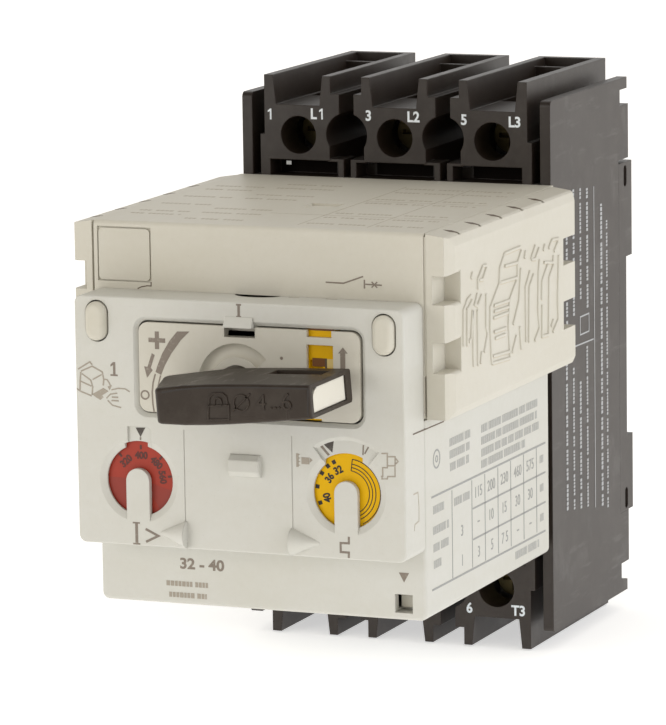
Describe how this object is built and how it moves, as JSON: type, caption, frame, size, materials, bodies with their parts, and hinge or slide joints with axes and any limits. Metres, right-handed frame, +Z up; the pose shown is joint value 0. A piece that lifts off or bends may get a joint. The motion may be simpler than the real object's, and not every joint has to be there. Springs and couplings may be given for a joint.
{
  "type": "motor protection breaker",
  "caption": "Box-shaped motor protection breaker with a rotary front handle, setting dials, a plug-in trip module and screw terminals above and below.",
  "frame": {"origin": "on the rear mounting plane, at the centre of the rail seat", "axes": "+Y into the mounting panel, so the handle faces -Y; +Z up, towards the line terminals; +X to the right seen from the front"},
  "size_m": [0.0826, 0.1645, 0.1228],
  "materials": {
    "black_moulded": "fine spark-eroded grain",
    "black_handle": "fine grain, slightly polished on the edges",
    "light_moulded": "satin warm light grey",
    "light_module": "satin warm light grey",
    "light_key": "satin warm light grey",
    "white_bar": "satin off-white",
    "yellow": "satin yellow",
    "red": "satin red",
    "steel": "zinc plated",
    "spring_steel": "drawn wire",
    "copper": "bare copper",
    "winding": "enamelled copper wire",
    "bimetal": "rolled strip",
    "inner_plastic": "plain grey moulding",
    "clip_plastic": "plain black moulding"
  },
  "bodies": {
    "breaker": {"base_housing": "black_moulded", "rear_plate": "black_moulded", "rail_clip_spring": "spring_steel", "rear_screws": "steel", "terminal_clamps_line": "steel", "terminal_clamps_load": "steel", "fixed_contacts_line": "copper", "fixed_contacts_load": "copper", "load_busbars": "copper", "arc_chutes": "steel", "latch_frame": "steel", "shaft_bush": "inner_plastic", "toggle_spring": "spring_steel", "switch_cover": "light_moulded", "label_insert": "light_key", "side_rib_left": "light_moulded", "side_rib_right": "light_moulded", "handle_tower": "light_moulded", "trip_module_housing": "light_module", "trip_rear_wall": "inner_plastic", "plug_blades": "copper", "magnet_coils": "winding", "coil_yokes": "steel", "bimetal_strips": "bimetal", "heater_windings": "winding", "button_springs": "spring_steel"},
    "handle": {"rotary_handle": "black_handle", "handle_shaft": "steel", "cam_drum": "inner_plastic"},
    "padlock_bar": {"padlock_bar": "white_bar"},
    "contact_carrier": {"contact_carrier": "inner_plastic", "moving_bridges": "copper", "contact_springs": "spring_steel"},
    "red_dial": {"red_dial": "red"},
    "yellow_dial": {"yellow_dial": "yellow"},
    "release_slide": {"release_slide": "yellow"},
    "latch_button_left": {"latch_button_left": "light_key"},
    "latch_button_right": {"latch_button_right": "light_key"},
    "test_pusher": {"test_pusher": "light_key"},
    "rail_clip": {"rail_clip": "clip_plastic"},
    "trip_bar": {"trip_bar": "inner_plastic"},
    "trip_plungers": {"trip_plungers": "steel"},
    "terminal_screw_l1": {"terminal_screw_l1": "steel"},
    "terminal_screw_l2": {"terminal_screw_l2": "steel"},
    "terminal_screw_l3": {"terminal_screw_l3": "steel"},
    "terminal_screw_t1": {"terminal_screw_t1": "steel"},
    "terminal_screw_t2": {"terminal_screw_t2": "steel"},
    "terminal_screw_t3": {"terminal_screw_t3": "steel"}
  },
  "joints": [
    {"name": "handle_turn", "type": "hinge", "parent": "breaker", "child": "handle", "pos_m": [-0.0003, -0.15, 0.0114], "axis": [0, 1, 0], "range_deg": [0, 94]},
    {"name": "padlock_pull", "type": "slide", "parent": "handle", "child": "padlock_bar", "axis": [0.9971, 0, 0.0767], "range_m": [0, 0.006]},
    {"name": "contact_travel", "type": "slide", "parent": "breaker", "child": "contact_carrier", "axis": [0, 1, 0], "range_m": [0, 0.004]},
    {"name": "red_dial_turn", "type": "hinge", "parent": "breaker", "child": "red_dial", "pos_m": [-0.0222, -0.136, -0.0093], "axis": [0, 1, 0], "range_deg": [-110, 110]},
    {"name": "yellow_dial_turn", "type": "hinge", "parent": "breaker", "child": "yellow_dial", "pos_m": [0.02305, -0.136, -0.0093], "axis": [0, 1, 0], "range_deg": [-110, 110]},
    {"name": "release_travel", "type": "slide", "parent": "breaker", "child": "release_slide", "axis": [0, 0, 1], "range_m": [0, 0.003]},
    {"name": "left_button_press", "type": "slide", "parent": "breaker", "child": "latch_button_left", "axis": [0, 1, 0], "range_m": [0, 0.0014], "deforming": ["button_springs"]},
    {"name": "right_button_press", "type": "slide", "parent": "breaker", "child": "latch_button_right", "axis": [0, 1, 0], "range_m": [0, 0.0014], "deforming": ["button_springs"]},
    {"name": "test_press", "type": "slide", "parent": "breaker", "child": "test_pusher", "axis": [0, 1, 0], "range_m": [0, 0.002]},
    {"name": "rail_clip_pull", "type": "slide", "parent": "breaker", "child": "rail_clip", "axis": [0, 0, -1], "range_m": [0, 0.0042], "deforming": ["rail_clip_spring"]},
    {"name": "trip_bar_turn", "type": "hinge", "parent": "breaker", "child": "trip_bar", "pos_m": [0, -0.1035, -0.0025], "axis": [1, 0, 0], "range_deg": [0, 8]},
    {"name": "plunger_strike", "type": "slide", "parent": "breaker", "child": "trip_plungers", "axis": [0, 0, 1], "range_m": [0, 0.0015]},
    {"name": "line_screw_1_turn", "type": "hinge", "parent": "breaker", "child": "terminal_screw_l1", "pos_m": [-0.0223, -0.038, 0.051], "axis": [0, 1, 0], "continuous": true},
    {"name": "line_screw_2_turn", "type": "hinge", "parent": "breaker", "child": "terminal_screw_l2", "pos_m": [0, -0.038, 0.051], "axis": [0, 1, 0], "continuous": true},
    {"name": "line_screw_3_turn", "type": "hinge", "parent": "breaker", "child": "terminal_screw_l3", "pos_m": [0.0223, -0.038, 0.051], "axis": [0, 1, 0], "continuous": true},
    {"name": "load_screw_1_turn", "type": "hinge", "parent": "breaker", "child": "terminal_screw_t1", "pos_m": [-0.0223, -0.038, -0.046], "axis": [0, 1, 0], "continuous": true},
    {"name": "load_screw_2_turn", "type": "hinge", "parent": "breaker", "child": "terminal_screw_t2", "pos_m": [0, -0.038, -0.046], "axis": [0, 1, 0], "continuous": true},
    {"name": "load_screw_3_turn", "type": "hinge", "parent": "breaker", "child": "terminal_screw_t3", "pos_m": [0.0223, -0.038, -0.046], "axis": [0, 1, 0], "continuous": true}
  ],
  "couplings": [
    {"joint": "handle_turn", "follows": "contact_travel", "rad_per_m": 410}
  ]
}
